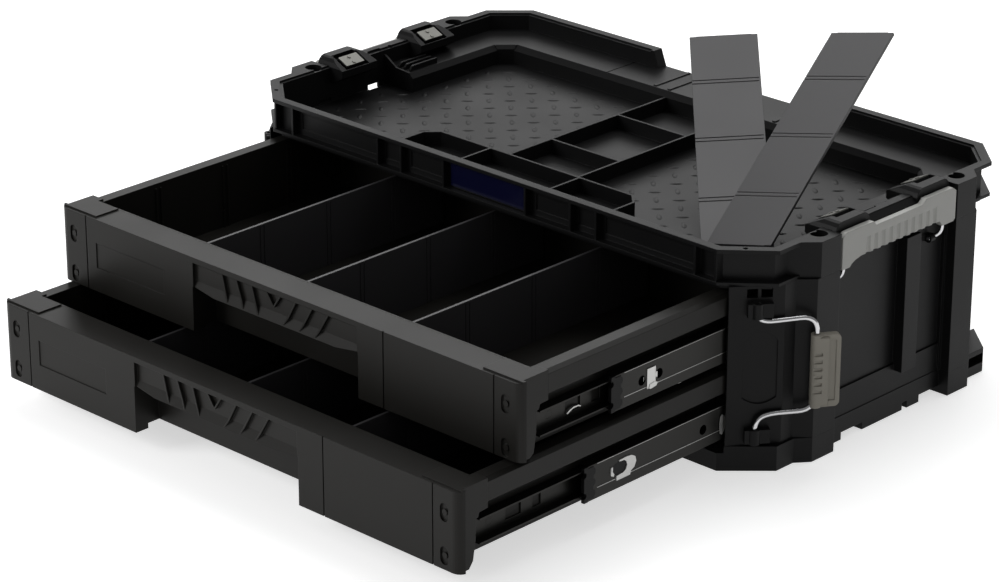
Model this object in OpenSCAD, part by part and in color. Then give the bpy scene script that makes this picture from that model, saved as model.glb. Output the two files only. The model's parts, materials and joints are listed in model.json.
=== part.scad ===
// Portable tool box with two drawers, an open top tray and removable dividers.
// Millimetres. +Z is up and the drawers pull out towards -Y.
// The origin is the middle of the base, on the ground.

/* [Case] */
// Overall width over the side pillars
case_w = 562; // [552:1:580]
// Overall depth of the case
case_d = 312;
// Height of the tray rim above the ground
case_h = 175; // [173:1:185]
// How far the side pillars stand out from the side panels
pillar_out = 11;
// Room between the side panel and the drawer opening
side_cavity = 26.5;
// Thickness of the moulded walls
skin = 2.5; // [2:0.1:3]
// Front corner cut, measured across
front_cut_x = 34.7;
// Front corner cut, measured front to back
front_cut_y = 29.5;
// Rear corner cut, measured across
rear_cut_x = 29.6;
// Rear corner cut, measured front to back
rear_cut_y = 28.3;
// Height of the band round the tray
band_h = 28;
// Height of the plinth
plinth_h = 20;
// How far the plinth stands out from the side panels
plinth_out = 2;
// Top of the base floor, under the lower drawer
base_floor_z = 14.5;
// Thickness of the base floor
base_floor_t = 4;
// Side clearance of the front corner posts behind the rim corner
post_back = 4.4;

/* [Top tray] */
// Depth of the tray below its rim
tray_depth = 31;
// Thickness of the tray floor
tray_floor_t = 2;
// Width of the flat rim
rim_w = 10;
// How far the band wall stands back under the rim
band_back = 7;
// Thickness of the rim flange
rim_t = 3;
// Width of the small step inside the rim
rim_step = 2.5;
// Thickness of the flange under the band
low_flange_t = 2.5;
// Drop from the rim to the benches
bench_drop = 14.5; // [12:0.5:17]
// Width of the side benches, inside the rim
bench_w = 34;
// Width of the back bench, from the back of the case
back_bench_w = 50;
// Front end of the side benches, behind the front of the case
bench_start = 150;
// Corner cut inside the benches
bench_corner = 10;
// Height of the bin walls
bin_h = 12; // [6:0.5:14]
// Thickness of the bin walls
bin_t = 2;
// Back wall of the front bins, behind the front of the case
bin_row = 77.5;
// Left end of the front bins
bin_left_x = -131;
// Right end of the front bins
bin_right_x = 97;
// Left wall of the middle column
column_left_x = -43.5;
// Right wall of the middle column
column_right_x = 30;
// Half width of the open part of the back rim
back_gap_x = 87;
// Diameter of the stacking sockets
socket_d = 13.5; // [11:0.5:15]
// Depth of the stacking sockets
socket_depth = 15;
// Middle of the stacking sockets, in from the side pillars
socket_in = 13;
// Front stacking sockets, behind the front of the case
socket_front = 76;
// Rear stacking sockets, in front of the back of the case
socket_rear = 71;
// Width of the name panel
badge_w = 80; // [60:1:84]
// Thickness of the name panel
badge_t = 1;

/* [Drawers] */
// Gap between a drawer front and the opening, each side
drawer_gap = 1.7; // [1.2:0.1:2.5]
// How far the upper drawer stands open
upper_open = 212.7; // [0:1:273]
// How far the lower drawer stands open
lower_open = 273.1; // [0:1:273.1]
// Height left over by the two drawers
stack_room = 4.5;
// Gap above the upper drawer
top_room = 1.8;
// Gap between the drawer fronts
front_gap = 1.6;
// How far the lower front hangs lower than the upper one
low_front_more = 0.8;
// Depth of the drawer front, from its end flanges back
front_d = 23;
// How far the faces stand out from the case
front_out = 2.5;
// How far the ends of the faces lap over the corner posts
front_wing = 3.5;
// Radius of the upright corners of the faces
front_round = 7.5;
// Room behind a closed drawer
drawer_room = 30;
// Clearance at each end of a divider
divider_gap = 0.5;
// Height left free under a drawer's inside
tub_room = 5.3; // [5.3:0.1:12]
// Thickness of the drawer walls
tub_t = 2;
// Gap between the drawer's top skirt and its side wall
skirt_gap = 12.2;
// Thickness of the drawer's top skirt
skirt_t = 3;
// Gap between the skirt and the slide
skirt_room = 6;
// Left end of the pull
pull_left_x = -93;
// Right end of the pull
pull_right_x = 84;
// Height of the pull lip
pull_lip_h = 27; // [24:1:32]
// Thickness of the pull lip
lip_t = 7;
// Depth of the lip's hollow face
lip_hollow = 3;
// Side divider positions, from the centre
divider_x = 109.5; // [90:0.5:120]
// Thickness of a divider
divider_t = 2.4;
// Drop from the drawer's top edge to its dividers
divider_drop = 2.2; // [2.2:0.1:12]

/* [Slides] */
// Middle of a slide above the edge of the drawer below
slide_rise = 21.5;
// Height of the case member
case_member_h = 35;
// Height of the middle member
mid_member_h = 27.6;
// Height of the drawer member
drawer_member_h = 20;
// Sheet thickness of the slides
sheet = 1.2;
// Room behind the slides
slide_room = 27;
// Front end of the closed middle member, behind the front of the case
mid_front = 21;
// Travel of the upper middle members in this pose
upper_mid_open = 136;
// Travel of the lower middle members in this pose
lower_mid_open = 163.5;
// Diameter of the balls between middle and drawer members
inner_ball_d = 2.3;
// Diameter of the balls between case and middle members
outer_ball_d = 2.2;
// Diameter of the slide screws
screw_d = 3.1;

/* [Locks and handles] */
// Wire diameter of the drawer locks
lock_wire_d = 4; // [3:0.5:4.5]
// Reach of the drawer locks
lock_reach = 45.5; // [42:0.5:50]
// Direction of the open drawer locks, from the +X axis
lock_angle = 56;
// Wire diameter of the side handles
handle_wire_d = 3.2; // [2.5:0.1:3.6]
// Gap at each end of a side handle
handle_gap = 1.95; // [1.5:0.05:4]
// Thickness of a side handle
handle_t = 5; // [4.5:0.1:5.2]
// Radial clearance of turning parts
run_gap = 0.06;

/* [Loose dividers] */
// Turn of the first loose divider
loose_a_turn = 31.7;
// Slope of the first loose divider
loose_a_slope = 20.3;
// Roll of the first loose divider
loose_a_roll = 11.1;
// Turn of the second loose divider
loose_b_turn = -10.3;
// Slope of the second loose divider
loose_b_slope = 24.1;
// Roll of the second loose divider
loose_b_roll = 24.9;

/* [Hidden] */
$fn = 48;
eps = 0.01;
hw = case_w / 2;
bw = hw - pillar_out;
ow = bw - side_cavity;
dw = ow - drawer_gap;
tw = dw - skirt_gap;
drawer_d = case_d - drawer_room;
fy = -case_d / 2;
ry = case_d / 2;

// inset factors of the plan's corners, so that walls keep their thickness round the cuts
k_front = tan(atan2(front_cut_y, front_cut_x) / 2);
k_side = tan(atan2(front_cut_x, front_cut_y) / 2);
k_rear_side = tan(atan2(rear_cut_x, rear_cut_y) / 2);
k_rear = tan(atan2(rear_cut_y, rear_cut_x) / 2);

// pillars and handle recess, front to back
pillar_f0 = fy + 60.8;
pillar_f1 = fy + 86.6;
pillar_r0 = ry - 85.5;
pillar_r1 = ry - 59.9;
rim_pillar_f0 = fy + 64;
rim_pillar_r1 = ry - 62;
// slanting return of the side wall behind the rear pillar
return_y0 = pillar_r1 + pillar_out;
return_x = bw - rear_cut_x - 2;
return_slope = (ry - 2 - return_y0) / (bw - return_x);
return_k = skin * sqrt(1 + return_slope * return_slope);
back_x = return_x - 6;
recess_mid = (pillar_f1 + pillar_r0) / 2;
front_flat = bw - front_cut_x;

// heights, from the rim down
split_z = case_h - band_h;
tray_floor_z = case_h - tray_depth;
side_top = tray_floor_z - tray_floor_t;
bench_z = case_h - bench_drop;
bin_z = tray_floor_z + bin_h;
drawer_pitch = (side_top - base_floor_z - stack_room) / 2;
upper_top = side_top - top_room;
lower_top = upper_top - drawer_pitch;
upper_front_h = drawer_pitch - front_gap;
lower_front_h = drawer_pitch + low_front_more;
tub_depth = drawer_pitch - tub_room;
divider_h = tub_depth - divider_drop;
slide_drop = drawer_pitch - slide_rise;
skirt_h = slide_drop - case_member_h / 2 - skirt_room;

// tray
bench_x = bw - rim_w - bench_w;
bench_y = ry - back_bench_w;
bench_front_y = fy + bench_start;
bin_row_y = fy + bin_row;
bin_y0 = fy + rim_w - 1;
socket_x = hw - socket_in;
socket_y = [fy + socket_front, ry - socket_rear];
slot_y = recess_mid - 26.5;
band_rib_x = [43.5, 90, 116, front_flat - 21.8, front_flat - 1.8];
recess_x = bw + 5;
block_z = case_h - socket_depth;

// front corner posts
post_x0 = ow + 0.8;
post_y0 = fy + post_back;
post_y1 = fy + 37;
post_a = atan2(post_y1 - post_y0, bw - post_x0);
post_mx = (post_x0 + bw) / 2;
post_my = (post_y0 + post_y1) / 2;
pivot_out = 3.9;

// slides, measured outwards from the drawer wall
case_member_front = 5;
case_member_lip_front = 20;
x_drawer_web = tw;
x_drawer_lip = tw + 8.4;
x_mid_lip = tw + 3.4;
x_mid_web = tw + 10.3;
x_case_lip = tw + 4.4;
x_case_web = ow - sheet;
drawer_member_front = 24;
drawer_member_l = drawer_d - drawer_member_front;
slide_rear = case_d - slide_room;
inner_gap = mid_member_h / 2 - sheet - drawer_member_h / 2;
outer_gap = case_member_h / 2 - sheet - mid_member_h / 2;
inner_ball_z = drawer_member_h / 2 + inner_gap / 2;
outer_ball_z = mid_member_h / 2 + outer_gap / 2;
outer_cage_y = 100;
outer_cage_l = 85;
inner_cage_y = 90;
inner_cage_l = 110;
drawer_screw_y = [40, 150, drawer_d - 20];
case_screw_y = [11, 120, slide_rear - 17];
mid_hole_y = [29, 47.5, 125, 205];
screw_head_d = 6;
screw_head_t = 0.8;

// ribs of the pull lip, each a path of [x, z] points below the top edge
lip_left_x = -70;
lip_right_x = 61;
lip_top = -4;
lip_knee = -19.5;
lip_ribs = [
  [[-60.5, lip_top], [-56.7, lip_knee], [-54.7, -pull_lip_h]],
  [[-44.9, lip_top], [-39.4, lip_knee], [-37.5, -pull_lip_h]],
  [[-28.2, lip_top], [-23.6, lip_knee], [-21.4, -pull_lip_h]],
  [[-12.3, lip_top], [-4.6, -15]],
  [[3, lip_top], [-4.6, -15]],
  [[19.2, lip_top], [10.4, lip_knee], [4.9, -pull_lip_h]],
  [[36.4, lip_top], [27.2, lip_knee], [21.8, -pull_lip_h]],
  [[53.4, lip_top], [43.8, lip_knee], [38.4, -pull_lip_h]],
];

// removable dividers
divider_l = drawer_d - front_d - 2 * (tub_t + divider_gap);
groove_pitch = 70;
groove_y = [for (i = [-1:1]) divider_l / 2 + i * groove_pitch];
divider_tab = 5;
divider_tab_t = 0.45;

// strike plates
strike_tilt = 24.8;
strike_l = 20;
strike_w = 11.5;
strike_t = 1;
strike_room = 3;
strike_in = 15.5;
strike_up = 2;
left_housing_y = [recess_mid - 48.55, recess_mid + 43.45];
right_housing_y = [recess_mid - 49.5, recess_mid + 47];
left_strike_y = [recess_mid - 50, recess_mid + 42];
right_strike_y = [recess_mid - 46, recess_mid + 50.5];
rivet_x = 3.2;
rivet_r = 1;

// side handles
handle_axis_x = bw + 3;
handle_axis_z = case_h - 39.5;
handle_l = pillar_r0 - pillar_f1 - 2 * handle_gap;
handle_leg_front = -handle_l / 2 + 4.5;
handle_leg_rear = handle_l / 2 - 12.5;
lug_y = handle_leg_rear - 6.5;
lug_w = 6;
handle_x0 = hw - handle_t;
handle_wire_x = hw - handle_t / 2;
handle_bar_z = case_h - 13;
handle_wire_in = 9;

upper_y = fy - upper_open;
lower_y = fy - lower_open;

black = [0.16, 0.16, 0.16];
dark = [0.2, 0.2, 0.2];
grey = [0.5, 0.5, 0.51];
pale = [0.62, 0.62, 0.6];
steel = [0.7, 0.71, 0.72];
navy = [0.08, 0.1, 0.2];

module slab(x0, x1, y0, y1, z0, z1) {
  translate([x0, y0, z0]) cube([x1 - x0, y1 - y0, z1 - z0]);
}

module both() {
  children();
  mirror([1, 0, 0]) children();
}

// outline of the case seen from above, inset by e, without the pillars
module plan(e) {
  polygon([
    [-bw + front_cut_x + k_front * e, fy + e],
    [bw - front_cut_x - k_front * e, fy + e],
    [bw - e, fy + front_cut_y + k_side * e],
    [bw - e, ry - rear_cut_y - k_rear_side * e],
    [bw - rear_cut_x - k_rear * e, ry - e],
    [-bw + rear_cut_x + k_rear * e, ry - e],
    [-bw + e, ry - rear_cut_y - k_rear_side * e],
    [-bw + e, fy + front_cut_y + k_side * e],
  ]);
}

module ring(e0, e1, z0, z1) {
  translate([0, 0, z0]) linear_extrude(z1 - z0) difference() {
    plan(e0);
    plan(e1);
  }
}

/* ---------- top tray ---------- */

// the block that carries a stacking socket, front or rear
module rim_block(z0, z1) {
  in = rim_w - rim_step;
  translate([0, 0, z0]) linear_extrude(z1 - z0) {
    polygon([
      [bw - in, rim_pillar_f0 - pillar_out - in],
      [bw, rim_pillar_f0 - pillar_out],
      [hw, rim_pillar_f0],
      [hw, pillar_f1],
      [bw - in, pillar_f1],
    ]);
    polygon([
      [bw - in, pillar_r0],
      [hw, pillar_r0],
      [hw, rim_pillar_r1],
      [bw, rim_pillar_r1 + pillar_out],
      [bw - in, rim_pillar_r1 + pillar_out + in],
    ]);
  }
}

module rim_block_hollow() {
  slab(bw - band_back, hw - skin, rim_pillar_f0 + 1, pillar_f1 - skin, split_z - 1, block_z);
  slab(bw - band_back, hw - skin, pillar_r0 + skin, rim_pillar_r1 - 1, split_z - 1, block_z);
}

// the rim between the blocks, low and sloping behind the handle
module rim_middle() {
  translate([0, pillar_r0 + 1, 0]) rotate([90, 0, 0]) linear_extrude(pillar_r0 - pillar_f1 + 2)
    polygon([
      [bw - rim_w + rim_step, block_z],
      [bw - rim_w + rim_step, case_h],
      [recess_x - 6, case_h],
      [recess_x, case_h - 4.5],
      [recess_x, block_z],
    ]);
}

module housing(y) {
  intersection() {
    translate([0, y + 20, 0]) rotate([90, 0, 0]) linear_extrude(40) polygon([
      [bw - 24, case_h - 8],
      [bw - 24, case_h - 1.8],
      [bw - 8, case_h + 5.7],
      [recess_x, case_h + 5.7],
      [recess_x, block_z],
      [bw - 12, block_z],
    ]);
    translate([bw - 25, y, 0]) rotate([90, 0, 90]) linear_extrude(40) polygon([
      [-20, block_z - 1],
      [-20, case_h - 1],
      [-18.5, case_h + 2.5],
      [-16, case_h + 4.8],
      [-12.5, case_h + 6],
      [12.5, case_h + 6],
      [16, case_h + 4.8],
      [18.5, case_h + 2.5],
      [20, case_h - 1],
      [20, block_z - 1],
    ]);
  }
}

module at_strike(y) {
  translate([bw - strike_in, y, case_h + strike_up]) rotate([0, -strike_tilt, 0])
    children();
}

module strike_pocket(y) {
  long = strike_l / 2 + strike_room;
  wide = strike_w / 2 + strike_room;
  at_strike(y) {
    slab(-wide - 4, wide, -long, long, 0, 9);
    difference() {
      slab(-wide, wide, -long, long, -4, 1);
      slab(-strike_w / 2, strike_w / 2, -strike_l / 2, strike_l / 2, -5, 2);
    }
    // deep slot outside the plate, for the hook of the case above
    slab(strike_w / 2 + 1, wide + 3.5, -long + 1, long - 1, -6, 9);
    for (x = [-rivet_x, rivet_x]) translate([x, 0, -3]) cylinder(r = rivet_r + 0.05, h = 4);
  }
}

// open middle of the tray, grown by e towards the benches
module tray_middle(e) {
  x = bench_x + e;
  y = bench_y + e;
  cut = bench_corner + e * 0.4;
  polygon([
    [-x, fy],
    [x, fy],
    [x, y - cut],
    [x - cut, y],
    [-x + cut, y],
    [-x, y - cut],
  ]);
}

module bench() {
  bevel = 3;
  corner_bevel = 2.2;
  edge = bench_corner * sqrt(2) / 2 + 1.3;
  difference() {
    translate([0, 0, tray_floor_z - 1]) linear_extrude(bench_z - tray_floor_z + 1) plan(rim_w - 1);
    linear_extrude(bench_z + 1) tray_middle(0);
    slab(-hw, hw, fy, bench_front_y, 0, bench_z + 1);
    // hollow under the benches
    translate([0, 0, tray_floor_z - 2]) linear_extrude(bench_z - tray_floor_z - 0.5)
      difference() {
        plan(rim_w + 1);
        tray_middle(skin);
        translate([-hw, fy]) square([case_w, bench_front_y + skin - fy]);
      }
    // bevel along the inner edge
    both() translate([bench_x, 0, bench_z]) rotate([0, 45, 0])
      slab(-bevel, bevel, fy, bench_y - bench_corner, -bevel, bevel);
    translate([0, bench_y, bench_z]) rotate([45, 0, 0])
      slab(-bench_x + bench_corner, bench_x - bench_corner, -bevel, bevel, -bevel, bevel);
    both() translate([bench_x - bench_corner / 2, bench_y - bench_corner / 2, bench_z])
      rotate([0, 0, -45]) rotate([45, 0, 0])
      slab(-edge, edge, -corner_bevel, corner_bevel, -corner_bevel, corner_bevel);
  }
}

// gusset between the rim and the front end of a bench
module bench_gusset() {
  x = bw - rim_w;
  translate([0, bench_front_y + bin_t, 0]) rotate([90, 0, 0]) linear_extrude(bin_t) polygon([
    [x + 1, bench_z - 1],
    [x + 1, case_h - 5],
    [x - 2, case_h - 6],
    [x - 14, bench_z + 1],
    [x - bench_w + 6, bench_z],
    [x - bench_w + 6, bench_z - 1],
  ]);
}

module bin_walls() {
  z0 = tray_floor_z - 1;
  cut = 11;
  translate([0, 0, z0]) linear_extrude(bin_z - z0) difference() {
    polygon([
      [bin_left_x, bin_y0],
      [bin_left_x, bin_row_y - cut],
      [bin_left_x + cut, bin_row_y],
      [bin_right_x - cut, bin_row_y],
      [bin_right_x, bin_row_y - cut],
      [bin_right_x, bin_y0],
    ]);
    polygon([
      [bin_left_x + bin_t, fy],
      [bin_left_x + bin_t, bin_row_y - cut - bin_t * 0.4],
      [bin_left_x + cut + bin_t * 0.4, bin_row_y - bin_t],
      [bin_right_x - cut - bin_t * 0.4, bin_row_y - bin_t],
      [bin_right_x - bin_t, bin_row_y - cut - bin_t * 0.4],
      [bin_right_x - bin_t, fy],
    ]);
  }
  for (x = [-66, 29.5]) slab(x, x + bin_t, bin_y0, bin_row_y - 1, z0, bin_z);
  for (x = [column_left_x, column_right_x])
    slab(x - bin_t, x, bin_row_y - 1, bench_y + 1, z0, bin_z);
  for (y = [bin_row_y + 48.5, bin_row_y + 127.5])
    slab(column_left_x - 1, column_right_x - 1, y - bin_t, y, z0, bin_z);
}

// ribs and shallow panels between the flanges of the front band
module band_ribs() {
  for (x = band_rib_x) both()
    slab(x - 1, x + 1, fy + 0.8, fy + band_back + 1, split_z + 1, case_h - 1);
}

module band_panels() {
  for (s = [[50, 84], [94, 112], [121, band_rib_x[3] - 5.5]]) both()
    slab(s[0], s[1], fy + band_back - 1, fy + band_back + 0.8, split_z + 7, case_h - 8);
}

// rails with rounded front ends, on the left bench
module bench_clips() {
  clip_h = 4.5;
  clip_l = 27;
  clip_y = bench_front_y + 8;
  for (x = [8, 14.5, 21]) translate([-bench_x - x, clip_y, bench_z]) {
    rotate([0, 90, 0]) cylinder(r = clip_h, h = bin_t);
    slab(0, bin_t, 0, clip_l, -1, clip_h);
  }
  slab(-bench_x - 21, -bench_x - 7, clip_y + 16, clip_y + 18, bench_z - 1, bench_z + 3);
}

module top_tray() {
  color(black) difference() {
    union() {
      ring(0, rim_w - rim_step, case_h - rim_t, case_h);
      ring(0, rim_w, case_h - rim_t, case_h - rim_t / 2);
      ring(0, rim_w, split_z, split_z + low_flange_t);
      ring(band_back, rim_w, side_top, case_h - rim_t + eps);
      translate([0, 0, side_top]) linear_extrude(tray_floor_t) plan(band_back);
      both() rim_block(split_z, case_h);
      both() rim_middle();
      for (y = left_housing_y) mirror([1, 0, 0]) housing(y);
      for (y = right_housing_y) housing(y);
      bench();
      bin_walls();
      band_ribs();
      bench_clips();
      both() bench_gusset();
      // closed ends of the back rim
      both() slab(back_gap_x - 1, back_gap_x + 9, ry - rim_w, ry, bench_z - 1, case_h);
      // ledge over the open part of the back rim
      slab(-back_gap_x - 8, back_gap_x + 8, bench_y + 10, ry, bench_z - 2.5, bench_z);
    }
    both() rim_block_hollow();
    // open part of the back rim, with sloping ends
    translate([0, ry + 1, 0]) rotate([90, 0, 0]) linear_extrude(rim_w + 1.2) polygon([
      [-back_gap_x, bench_z],
      [back_gap_x, bench_z],
      [back_gap_x + 6, case_h + 1],
      [-back_gap_x - 6, case_h + 1],
    ]);
    for (y = socket_y) both() translate([socket_x, y, block_z - 1])
      cylinder(d = socket_d, h = socket_depth + 2);
    for (y = left_strike_y) mirror([1, 0, 0]) strike_pocket(y);
    for (y = right_strike_y) strike_pocket(y);
    band_panels();
    // small round recesses in the rim
    both() translate([bw - 8, 3, case_h - 2]) cylinder(r = 1.8, h = 3);
    both() translate([bw - 21.4, fy + 16.4, case_h - 2]) cylinder(r = 1.8, h = 3);
    // slots low in the side walls, one right through and one blind
    both() slab(bw - rim_w - 2.5, bw - band_back + 1, slot_y, slot_y + 14, side_top - 1,
      split_z + 1);
    both() slab(bw - rim_w - 1, bw - rim_w + 1.5, slot_y - 56, slot_y - 42, tray_floor_z + 0.5,
      split_z + 0.5);
    // small moulded pockets beside the front housing
    both() slab(bw - rim_w + 1.5, bw - rim_w + 4.5, -22, -8, case_h - 2, case_h + 1);
    // step in the back bench
    slab(-113, -112, bench_y - 1, ry - rim_w, bench_z - 0.8, bench_z + 1);
  }
  // raised ribs across the back ledge
  color(black) for (x = [-61, -46, 66, 75])
    slab(x - 1.5, x + 1.5, bench_y + 6, ry - 0.5, bench_z - 0.5, bench_z + 0.8);
}

module front_badge() {
  color(navy) slab(-badge_w / 2, badge_w / 2, fy + band_back - badge_t, fy + band_back,
    split_z + low_flange_t + 1, case_h - rim_t - 1);
}

module strike_plate(side, y) {
  color(steel) mirror([side < 0 ? 1 : 0, 0, 0]) at_strike(y) difference() {
    slab(-strike_w / 2, strike_w / 2, -strike_l / 2, strike_l / 2, 0, strike_t);
    for (x = [-rivet_x, rivet_x]) translate([x, 0, -1]) cylinder(r = rivet_r + 0.05, h = 4);
  }
}

module front_left_strike_plate() strike_plate(-1, left_strike_y[0]);
module front_right_strike_plate() strike_plate(1, right_strike_y[0]);
module rear_left_strike_plate() strike_plate(-1, left_strike_y[1]);
module rear_right_strike_plate() strike_plate(1, right_strike_y[1]);

module rivet_pair(y) {
  at_strike(y) for (x = [-rivet_x, rivet_x]) translate([x, 0, 0]) {
    translate([0, 0, -2.5]) cylinder(r = rivet_r, h = 2.5 + strike_t);
    translate([0, 0, strike_t]) cylinder(r = 1.7, h = 0.6);
  }
}

module strike_plate_rivets() {
  color(steel) {
    for (y = left_strike_y) mirror([1, 0, 0]) rivet_pair(y);
    for (y = right_strike_y) rivet_pair(y);
  }
}

/* ---------- lower case ---------- */

module at_post() {
  translate([post_mx, post_my, 0]) rotate([0, 0, post_a]) children();
}

module side_plan_outer() {
  polygon([
    [ow, post_y0],
    [post_x0, post_y0],
    [bw, post_y1],
    [bw, pillar_f0 - pillar_out],
    [hw, pillar_f0],
    [hw, pillar_f1],
    [bw, pillar_f1],
    [bw, pillar_r0],
    [hw, pillar_r0],
    [hw, pillar_r1],
    [bw, return_y0],
    [return_x, ry - 2],
    [back_x, ry - 2],
    [back_x, ry - 2 - skin],
    [bw - (ry - 2 - skin - return_y0 + return_k) / return_slope, ry - 2 - skin],
    [ow, return_y0 + return_slope * (bw - ow) - return_k],
  ]);
}

module side_plan_inner() {
  polygon([
    [ow + skin, post_y0 + 6.4],
    [bw - skin, post_y1 + 1],
    [bw - skin, pillar_f0 - pillar_out + 1],
    [hw - skin, pillar_f0 + 1],
    [hw - skin, pillar_f1 - skin],
    [bw - skin, pillar_f1 - skin],
    [bw - skin, pillar_r0 + skin],
    [hw - skin, pillar_r0 + skin],
    [hw - skin, pillar_r1 - 1],
    [bw - skin, return_y0 - 1],
    [ow + skin, return_y0 + return_slope * (bw - ow - skin) - return_k - 0.3],
  ]);
}

module right_wall() {
  difference() {
    union() {
      difference() {
        translate([0, 0, plinth_h]) linear_extrude(split_z - plinth_h) side_plan_outer();
        translate([0, 0, plinth_h + skin]) linear_extrude(split_z) side_plan_inner();
      }
      // foot of the rear return, down to the base floor
      translate([0, 0, base_floor_z]) linear_extrude(plinth_h - base_floor_z + 1) intersection() {
        side_plan_outer();
        translate([back_x - 1, ry - 30]) square([ow - back_x + 1, 30]);
      }
      // stiffening web behind the pillars
      for (y = [-40, 40]) slab(ow + 1, bw - 1, y - 1, y + 1, plinth_h + 1, side_top);
      // wide rib in the middle of the recess
      slab(bw - 1, bw + 9, recess_mid + 12.5, recess_mid + 29.5, plinth_h + 17, split_z);
      slab(bw - 1, bw + 3, pillar_r0 - 3, pillar_r0 + 1, plinth_h, split_z);
      // thicker lower part of the recess
      slab(bw - 1, bw + 1.5, pillar_f1 - 1, pillar_r0 + 1, plinth_h, plinth_h + 22.5);
      // pivot lugs of the drawer lock
      at_post() for (z = pivot_z) {
        translate([0, -pivot_out, z]) cylinder(r = 4.3, h = pivot_h);
        slab(-7.5, 11.5, -pivot_out - 1.5, 1, z + 0.5, z + pivot_h - 0.5);
      }
      // rear pivot lug of the side handle
      translate([0, recess_mid + lug_y, handle_axis_z]) {
        slab(bw - 1, handle_axis_x, -lug_w / 2, lug_w / 2, -2.8, 2.8);
        translate([handle_axis_x, lug_w / 2, 0]) rotate([90, 0, 0]) cylinder(r = 3.2, h = lug_w);
      }
    }
    // the tray sits inside the top edge
    translate([0, 0, side_top]) linear_extrude(split_z) plan(band_back);
    // windows and hand scoop in the corner post
    at_post() {
      slab(-7.5, 0.5, -2, 8, split_z - 9.5, split_z - 2.5);
      slab(3, 11.5, -2, 8, split_z - 9.5, split_z - 2.5);
      translate([0, 1.3, 0]) rotate([90, 0, 0]) linear_extrude(3.3) polygon(concat(
        [for (x = [-9.5:2:16.5]) [x, plinth_h + 33 + 5 * pow((x - 3.5) / 13, 2)]],
        [for (x = [16.5:-2:-9.5]) [x, split_z - 36 - 8 * pow((x - 3.5) / 13, 2)]]
      ));
      for (z = pivot_z) translate([0, -pivot_out, z - 1])
        cylinder(d = lock_wire_d + 2 * run_gap, h = pivot_h + 2);
    }
    // handle pivots
    translate([handle_axis_x, recess_mid + lug_y + lug_w / 2 + 1, handle_axis_z])
      rotate([90, 0, 0]) cylinder(d = handle_wire_d + 2 * run_gap, h = lug_w + 2);
    translate([handle_axis_x, pillar_f1 + 1, handle_axis_z])
      rotate([90, 0, 0]) cylinder(d = handle_wire_d + 2 * run_gap, h = skin + 2);
    // slide screw holes
    for (top = [upper_top, lower_top]) for (y = case_screw_y)
      translate([ow - 1, fy + y, top - slide_drop]) rotate([0, 90, 0])
        cylinder(d = screw_d + 0.1, h = skin + 2);
  }
}

module right_side_wall() {
  color(black) right_wall();
}

module left_side_wall() {
  color(black) mirror([1, 0, 0]) difference() {
    right_wall();
    // drain slot under the slot in the tray
    slab(bw - skin - 1, bw + 1, slot_y + 8, slot_y + 25, split_z - 11.5, split_z - 3.4);
  }
}

module back_panel() {
  t = skin;
  color(black) difference() {
    slab(-back_x, back_x, ry - 2 - t, ry - 2, base_floor_z, side_top);
    for (x = [-160, -80, 0, 80, 160])
      slab(x - 30, x + 30, ry - 2 - 0.8, ry, base_floor_z + 20, tray_floor_z - 20);
  }
}

module base_panel() {
  side = bw + plinth_out;
  color(black) difference() {
    translate([0, 0, 0]) linear_extrude(plinth_h) polygon([
      [-side + 32.2, fy],
      [side - 32.2, fy],
      [side, fy + 30.6],
      [side, pillar_f0 - pillar_out],
      [hw, pillar_f0],
      [hw, pillar_f1],
      [side, pillar_f1],
      [side, pillar_r0],
      [hw, pillar_r0],
      [hw, pillar_r1],
      [side, pillar_r1 + pillar_out],
      [side, ry - rear_cut_y],
      [bw - rear_cut_x, ry],
      [-bw + rear_cut_x, ry],
      [-side, ry - rear_cut_y],
      [-side, pillar_r1 + pillar_out],
      [-hw, pillar_r1],
      [-hw, pillar_r0],
      [-side, pillar_r0],
      [-side, pillar_f1],
      [-hw, pillar_f1],
      [-hw, pillar_f0],
      [-side, pillar_f0 - pillar_out],
      [-side, fy + 30.6],
    ]);
    // room for the lower drawer
    slab(-ow, ow, fy - 1, ry + 1, base_floor_z, plinth_h + 1);
    // hollow underside round the middle pad and its cross ribs
    for (x = [-1, 1]) for (y = [-1, 1]) slab(
      x > 0 ? 12 : -ow + 10, x > 0 ? ow - 10 : -12,
      y > 0 ? 12 : fy + 12, y > 0 ? ry - 12 : -12,
      -1, base_floor_z - base_floor_t);
    // the sides stand on three feet
    both() for (y = [[pillar_f1 + 20, -24], [25, 31], [pillar_r0 - 24.5, pillar_r0]])
      slab(bw - 14, hw + 1, y[0], y[1], -1, 6);
    // groove behind the rear pillars, for lifting the stack apart
    both() slab(bw - 6, hw + 1, ry - 50 + 3, ry - rear_cut_y, 8, 16);
  }
}

/* ---------- drawers: y = 0 is the face, z = 0 the top edge ---------- */

// a raised rib over the lip, through three points [x, z]
module lip_rib(r) {
  half = 0.8;
  for (i = [0:len(r) - 2]) translate([0, 1 + lip_hollow, 0]) rotate([90, 0, 0])
    linear_extrude(lip_hollow + 0.6) polygon([
      [r[i][0] - half, r[i][1]],
      [r[i][0] + half, r[i][1]],
      [r[i + 1][0] + half, r[i + 1][1]],
      [r[i + 1][0] - half, r[i + 1][1]],
    ]);
}

// half of the face's plan, with a rounded corner and an end flange over the post
module face_half() {
  edge = dw + front_wing - front_round;
  back = front_round - front_out;
  corner = [for (a = [0:15:75]) [edge + front_round * sin(a), back - front_round * cos(a)]];
  last = corner[len(corner) - 1][1];
  polygon(concat([[-1, -front_out]], corner, [[dw, last], [dw, 9.5], [-1, 9.5]]));
}

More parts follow.
